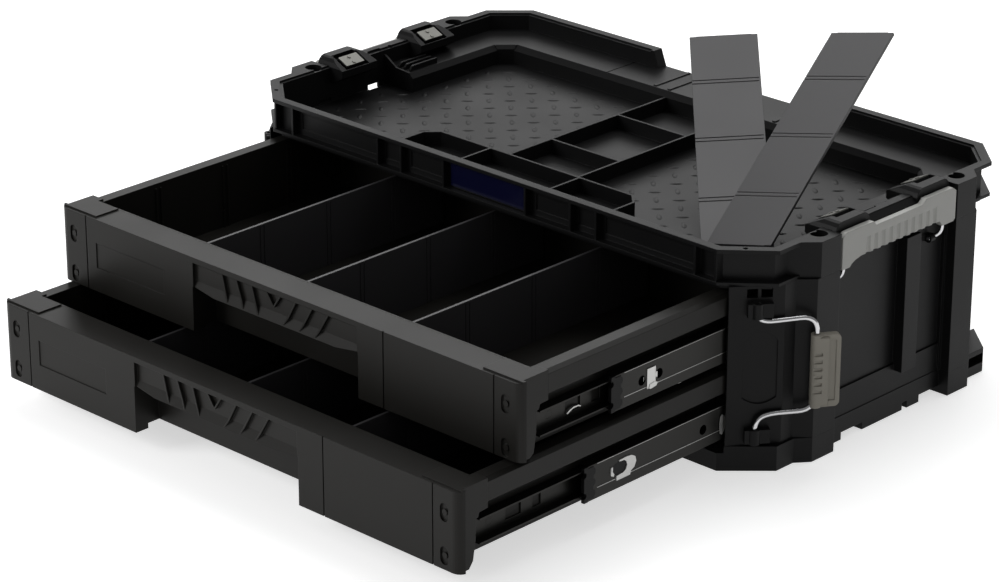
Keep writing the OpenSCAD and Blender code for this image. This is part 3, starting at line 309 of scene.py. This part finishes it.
# %% The tread ovals
TREAD_PITCH = 12.6
TREAD_START = (-166.4, -1.6)
TREAD_COLUMNS, TREAD_ROWS = range(-10, 36), range(-12, 10)
OVAL_LENGTH, OVAL_WIDTH, OVAL_HEIGHT = 11.5, 4.2, 0.5
OVAL_SIDES = 12
OVAL_TOP_SHARE = 0.62


def tread_oval(x, y, turn):
    cosine, sine = math.cos(turn), math.sin(turn)
    points = []
    for share, height in ((1.0, 0.0), (OVAL_TOP_SHARE, OVAL_HEIGHT)):
        for side in range(OVAL_SIDES):
            angle = 2 * math.pi * side / OVAL_SIDES
            a = OVAL_LENGTH / 2 * share * math.cos(angle)
            b = OVAL_WIDTH / 2 * share * math.sin(angle)
            points.append((x + cosine * a - sine * b, y + sine * a + cosine * b,
                           FLOOR_TOP + height))
    return points


tread_points, tread_faces = [], []
for column in TREAD_COLUMNS:
    for row in TREAD_ROWS:
        x, y = TREAD_START[0] + column * TREAD_PITCH, TREAD_START[1] + row * TREAD_PITCH
        if (column + row) % 2 or not on_open_floor(x, y):
            continue
        first = len(tread_points)
        tread_points += tread_oval(x, y, math.radians(45 if column % 2 else -45))
        low = [first + k for k in range(OVAL_SIDES)]
        top = [first + OVAL_SIDES + k for k in range(OVAL_SIDES)]
        tread_faces.append(top)
        tread_faces += [[low[k - 1], low[k], top[k], top[k - 1]] for k in range(OVAL_SIDES)]
tread = mesh_piece("floor_tread", tread_points, tread_faces, "case_black", "case")
tread.data.polygons.foreach_set("use_smooth", [True] * len(tread.data.polygons))
print("tread ovals:", len(tread_points) // (2 * OVAL_SIDES))

# %% [markdown]
# ## Bent wire
# The locks and the side handles hang on bent wires. The solid model bends them at square
# corners, while the real wires have wide bends. A curve object with a round bevel is the
# natural wire in Blender: it needs only the path of its middle. Bezier handles would have to
# be set at each bend, so the path is given by its corners, and a function replaces each
# inner corner by a short curve.

# %% A wire from its corners
BEND_SHARE = 0.48
BEND_STEPS = 7


def rounded_path(corners, bend):
    """The same path with each inner corner replaced by a curve that starts bend before it."""
    path = [corners[0]]
    for before, here, after in zip(corners, corners[1:], corners[2:]):
        reach_in = min(bend, (before - here).length * BEND_SHARE)
        reach_out = min(bend, (after - here).length * BEND_SHARE)
        start = here + (before - here).normalized() * reach_in
        end = here + (after - here).normalized() * reach_out
        for step in range(BEND_STEPS + 1):
            t = step / BEND_STEPS
            path.append(start * (1 - t) ** 2 + here * 2 * t * (1 - t) + end * t ** 2)
    path.append(corners[-1])
    return path


def wire_piece(name, corners, diameter, bend, body):
    curve = bpy.data.curves.new(name, "CURVE")
    curve.dimensions = "3D"
    curve.bevel_depth = diameter / 2 * MM
    curve.bevel_resolution = 4
    curve.use_fill_caps = True
    path = rounded_path([Vector(corner) for corner in corners], bend)
    spline = curve.splines.new("POLY")
    spline.points.add(len(path) - 1)
    for control, point in zip(spline.points, path):
        control.co = (*(point * MM), 1.0)
    return add_piece(bpy.data.objects.new(name, curve), "chrome_wire", body)


# %% [markdown]
# ## Lock wires
# Each drawer lock is a chromed bail that hinges in two lugs on a front corner post and
# carries a ribbed grip. Its ends stand in the lugs, so the path starts and stops on the
# hinge's own axis, which is read from the model's joint. The rest is drawn flat, as reach
# from that axis and height over the ground, and turned to the angle of the corner.

# %% Lock wires
LOCK_TURN = math.radians(56)
LOCK_PATH = [(0, 134), (0, 119.5), (45.5, 121), (45.5, 46), (8, 46.3), (0, 40), (0, 23.5)]
LOCK_WIRE, LOCK_BEND = 4.0, 13.0
hinges = {joint["name"]: joint for joint in frame["joints"]}
lock_x, lock_y, _ = (place / MM for place in hinges["right_lock_hinge"]["pos_m"])


def lock_point(side, reach, height):
    x = lock_x + math.cos(LOCK_TURN) * reach
    y = lock_y + math.sin(LOCK_TURN) * reach
    return (side * x, y, height)


for side, word in SIDES:
    bail = [lock_point(side, reach, height) for reach, height in LOCK_PATH]
    wire = wire_piece(f"{word}_lock_bail", bail, LOCK_WIRE, LOCK_BEND, f"{word}_lock")
    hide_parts(f"{word}_lock_wire")
    print(wire.name, "on the hinge at", round(side * lock_x, 1), round(lock_y, 1), "mm")

# %% [markdown]
# ## Handle wires
# A side handle is a ribbed grip on two short wires. Each wire comes down out of the grip,
# curls inwards and ends in a hook in its pivot lug. The points are measured outwards and
# upwards from the handle's hinge, again read from the joint, so the hooks stay in their
# lugs when the model's hinge moves.

# %% Handle wires
HANDLE_WIRE, HANDLE_BEND = 3.2, 5.0
HANDLE_HOOKS = {
    "front": [(5.5, -54, 26.5), (5.5, -63, 26.5), (5.5, -63, 7.5),
              (4, -64, 3.5), (0.5, -67, 0.5), (0, -72, 0)],
    "rear": [(5.5, 47, 26.5), (5.5, 56, 26.5), (5.5, 56, 7.5),
             (4, 55, 3.5), (0.5, 52, 0.5), (0, 46.5, 0)],
}
handle_x, _, handle_z = (place / MM for place in hinges["right_handle_hinge"]["pos_m"])
for side, word in SIDES:
    for end, path in HANDLE_HOOKS.items():
        hook = [(side * (handle_x + out), y, handle_z + up) for out, y, up in path]
        name = f"{word}_{end}_handle_hook"
        wire = wire_piece(name, hook, HANDLE_WIRE, HANDLE_BEND, f"{word}_handle")
        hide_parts(f"{word}_handle_wires")
        print(wire.name, "curls in at y", path[-1][1], "mm")

# %% [markdown]
# ## Flat details on the slides
# The members of a ball-bearing slide carry fine rolled beads, whose bright lines are painted
# highlights here, and small plated levers and clips. All of them are flat and lie against a
# member, so each is an outline that is given a thickness. The outline is measured from the
# member's front end and from its middle height, and the thickness from its outer face, so a
# detail stays on its member whatever size the model has. The left side is the mirror image of the right one.

# %% Plates against a slide member
def member_datum(member):
    """A right-hand slide member's outer face, front end and middle height, in mm."""
    low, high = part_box(member)
    return high[0] / MM, low[1] / MM, (low[2] + high[2]) / 2 / MM


def plates_piece(name, side, member, plates, slot, body):
    """Each plate is (inner depth, outer depth, [(along, up), ...]) from the member's datum."""
    face, front, middle = member_datum(member)
    points, faces = [], []
    for inner, outer, outline in plates:
        first, count = len(points), len(outline)
        points += [(side * (face + depth), front + along, middle + up)
                   for depth in (inner, outer) for along, up in outline]
        faces.append([first + k for k in range(count)])
        faces.append([first + count + k for k in reversed(range(count))])
        faces += [[first + k, first + (k + 1) % count, first + count + (k + 1) % count,
                   first + count + k] for k in range(count)]
    return mesh_piece(name, points, faces, slot, body)


# %% [markdown]
# ## Painted highlights along the middle members
# Two beads are rolled into every middle member to stiffen it, and each catches the light as a
# thin bright line. A raised strip of bright steel, a quarter of a millimetre high, stands for
# each bead, and its bright colour is a painted highlight.

# %% Slide painted highlights
# Bright steel strips on the black zinc member: painted highlights for the light along its beads.
HIGHLIGHT_START, HIGHLIGHT_END, HIGHLIGHT_RISE = 10, 262, 0.25
LOWER_HIGHLIGHT, UPPER_HIGHLIGHT = (-5.8, -5.35), (13.1, 13.5)


def painted_highlight(bottom, top):
    outline = [(HIGHLIGHT_START, bottom), (HIGHLIGHT_END, bottom), (HIGHLIGHT_END, top), (HIGHLIGHT_START, top)]
    return (0, HIGHLIGHT_RISE, outline)


for side, word in SIDES:
    for level in ("upper", "lower"):
        painted_highlights = [painted_highlight(*LOWER_HIGHLIGHT), painted_highlight(*UPPER_HIGHLIGHT)]
        plates_piece(f"{level}_{word}_slide_beads", side, f"{level}_right_middle_member",
                     painted_highlights, "bright_steel", f"{level}_middle")
print("beads on", 2 * len(SIDES), "members")

# %% [markdown]
# ## Levers and clips
# Small plated levers latch the members together and let a drawer be lifted out. On the upper
# slides only the foot and the curled tail of the lever show; on the lower ones it is a broken
# ring with a separate tip, and the shade in the pocket behind it is painted on as a thin black
# sheet. Their shapes follow no simple formula, so each is a short list of points, round the outline.

# %% Outlines of the upper slides
LEVER_FOOT = [(35.5, -6.6), (37.0, -7.8), (43.5, -7.0), (45.0, -4.7), (41.5, -3.2), (36.5, -4.2)]
LEVER_TAIL = [(67.0, -14.0), (69.0, -14.9), (71.5, -15.7), (74.0, -15.8), (76.0, -15.0),
              (77.4, -13.9), (76.6, -13.9), (75.4, -14.5), (74.0, -15.0), (71.5, -15.0),
              (69.0, -14.2)]
DRAWER_LEVER = [(33.2, -4.8), (35.2, -3.3), (40.2, -1.6), (45.7, -1.8), (48.3, -3.2),
                (47.9, -3.9), (45.2, -2.9), (40.2, -3.0), (36.2, -4.6), (34.2, -5.6)]

# %% Outlines of the lower slides
LEVER_RING = [(29.9, -3.3), (29.9, -7.1), (44.5, -7.1), (45.1, -4.3), (49.0, -2.3), (50.9, 1.8),
              (49.9, 5.7), (46.0, 8.0), (40.5, 8.6), (32.9, 8.3), (32.9, 7.0), (38.0, 6.7),
              (40.3, 4.8), (41.1, 1.8), (39.9, -1.1), (37.0, -2.8)]
LEVER_TIP = [(23.9, -1.5), (26.9, -2.9), (27.5, -1.3), (25.8, 1.3), (26.0, 5.0), (24.2, 4.7)]
# Painted shade: the outline of a thin black sheet where the pocket behind the ring lies in shadow.
POCKET_SHADE_OUTLINE = [(26.0, -0.7), (27.5, -2.5), (37.0, -2.8), (39.9, -1.1), (41.1, 1.8),
                (40.3, 4.8), (38.0, 6.7), (32.9, 6.9), (28.0, 5.9), (26.1, 3.3)]
CASE_CLIP = [(-4.6, -7.7), (-2.4, -9.1), (-0.6, -6.7), (0.8, -0.7), (-0.2, 5.3), (-2.5, 7.1),
             (-4.0, 5.8), (-4.9, -0.7)]

# %% [markdown]
# ## Fitting the levers and clips
# A table says of each detail which member it lies on, its plates, its finish and its body.
# The ring stands for the plain block that is the lower release lever in the solid model, so
# that block isn't shown.

# %% Fit the levers and clips
DETAILS = {
    "upper_{}_lever_foot": ("upper_right_middle_member", [(0.7, 1.05, LEVER_FOOT)],
                            "bright_steel", "upper_middle"),
    "upper_{}_lever_tail": ("upper_right_middle_member", [(-5.9, -2.5, LEVER_TAIL)],
                            "bright_steel", "upper_middle"),
    "upper_{}_drawer_lever": ("upper_right_drawer_member", [(-7.0, -5.8, DRAWER_LEVER)],
                              "bright_steel", "upper_drawer"),
    "lower_{}_lever_ring": ("lower_right_middle_member",
                            [(0, 0.7, LEVER_RING), (0, 0.7, LEVER_TIP)],
                            "bright_steel", "lower_middle"),
    # Painted shade: a black sheet for the dark pocket behind the ring.
    "lower_{}_painted_pocket_shade": ("lower_right_middle_member", [(0, 0.1, POCKET_SHADE_OUTLINE)],
                              "stop_black", "lower_middle"),
    "lower_{}_slide_clip": ("lower_right_case_member", [(-1.57, -1.25, CASE_CLIP)],
                            "bright_steel", "case"),
}
for side, word in SIDES:
    for name, (member, plates, slot, body) in DETAILS.items():
        piece = plates_piece(name.format(word), side, member, plates, slot, body)
        if name == "lower_{}_lever_ring":
            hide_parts("lower_release_levers")
print("slide details fitted:", len(SIDES) * len(DETAILS))

# %% [markdown]
# ## Floor
# The box stands on a plain white floor. A plain white material would look grey away from the
# lamps, and stronger lamps would wash out the black box. So the floor also glows, but only
# for rays that come straight from the camera or by way of a shiny or clear surface: it looks
# white there, lights nothing, and still takes the box's shadow.

# %% A white floor
FLOOR_HALF = 30.0
FLOOR_DROP = 0.2 * MM
FLOOR_GLOW = 0.60
corners = [(x * FLOOR_HALF, y * FLOOR_HALF, 0) for x, y in ((-1, -1), (1, -1), (1, 1), (-1, 1))]
floor_mesh = bpy.data.meshes.new("studio_floor")
floor_mesh.from_pydata(corners, [], [(0, 1, 2, 3)])
floor = bpy.data.objects.new("studio_floor", floor_mesh)
floor.location.z = -FLOOR_DROP
bpy.context.scene.collection.objects.link(floor)

paper = Finish("white paper")
camera_ray, glossy_ray, clear_ray = (
    paper.node("ShaderNodeLightPath", {}, {}, output=kind)
    for kind in ("Is Camera Ray", "Is Glossy Ray", "Is Transmission Ray"))
seen = camera_ray + glossy_ray + clear_ray
matt = paper.node("ShaderNodeBsdfDiffuse", {}, {"Color": rgb(0.86, 0.86, 0.86)})
glow = paper.node("ShaderNodeEmission", {}, {
    "Color": rgb(1, 1, 1), "Strength": FLOOR_GLOW * seen})
both = paper.node("ShaderNodeAddShader", {}, {0: matt, 1: glow})
paper.node("ShaderNodeOutputMaterial", {}, {"Surface": both})
floor_mesh.materials.append(paper.material)
print("floor:", 2 * FLOOR_HALF, "m wide")

# %% [markdown]
# ## Sky and lamps
# An even white sky fills the shadows. Three soft lamps shape the box: one overhead lights
# the tray and the dividers, one behind on the left draws a bright line along the rims, and
# one in front on the left lights the drawer fronts. Spot or point lamps would throw hard
# shadows and small glints; a wide area lamp gives the broad sheen that black plastic needs.

# %% Sky
SKY_STRENGTH = 0.26
world = bpy.data.worlds.new("studio sky")
bpy.context.scene.world = world
world.use_nodes = True
sky = world.node_tree.nodes["Background"]
sky.inputs["Color"].default_value = rgb(1, 1, 1)
sky.inputs["Strength"].default_value = SKY_STRENGTH
print("sky strength:", SKY_STRENGTH)


# %% Lamps
def soft_lamp(name, place, target, size, watts):
    light = bpy.data.lights.new(name, "AREA")
    light.shape = "RECTANGLE"
    light.size, light.size_y = size
    light.energy = watts
    lamp = bpy.data.objects.new(name, light)
    lamp.location = place
    lamp.rotation_euler = (Vector(target) - Vector(place)).to_track_quat("-Z", "Y").to_euler()
    bpy.context.scene.collection.objects.link(lamp)
    print(name, watts, "W")


soft_lamp("overhead_softbox", (-0.3, 0.6, 2.1), (0, 0, 0.1), (1.8, 1.2), 22.0)
soft_lamp("back_softbox", (-1.8, 1.9, 1.5), (0, 0, 0.1), (2.4, 1.4), 20.0)
soft_lamp("front_softbox", (-1.2, -2.1, 1.2), (0, -0.1, 0.1), (1.2, 1.2), 24.0)

# %% [markdown]
# ## Camera
# The box is seen from its front right corner and from above, so that the tray, the insides
# of the drawers and the right side all show. A long lens from three metres away keeps the
# far edges from shrinking, as in a catalogue. The Standard view transform shows each colour
# as it is written, without a film look on top.

# %% Camera
CAMERA_PLACE = (1.7669, -1.9798, 1.1330)
CAMERA_DOWN, CAMERA_TURN = 22.62, 43.79
FOCAL_LENGTH, SENSOR_WIDTH = 127.89, 36.0
camera_data = bpy.data.cameras.new("camera")
camera_data.sensor_width = SENSOR_WIDTH
camera_data.lens = FOCAL_LENGTH
camera = bpy.data.objects.new("camera", camera_data)
camera.location = CAMERA_PLACE
camera.rotation_euler = (math.radians(90 - CAMERA_DOWN), 0, math.radians(CAMERA_TURN))
bpy.context.scene.collection.objects.link(camera)
bpy.context.scene.camera = camera
bpy.context.scene.view_settings.view_transform = "Standard"
print("camera:", FOCAL_LENGTH, "mm lens,", round(camera.location.length, 2), "m away")
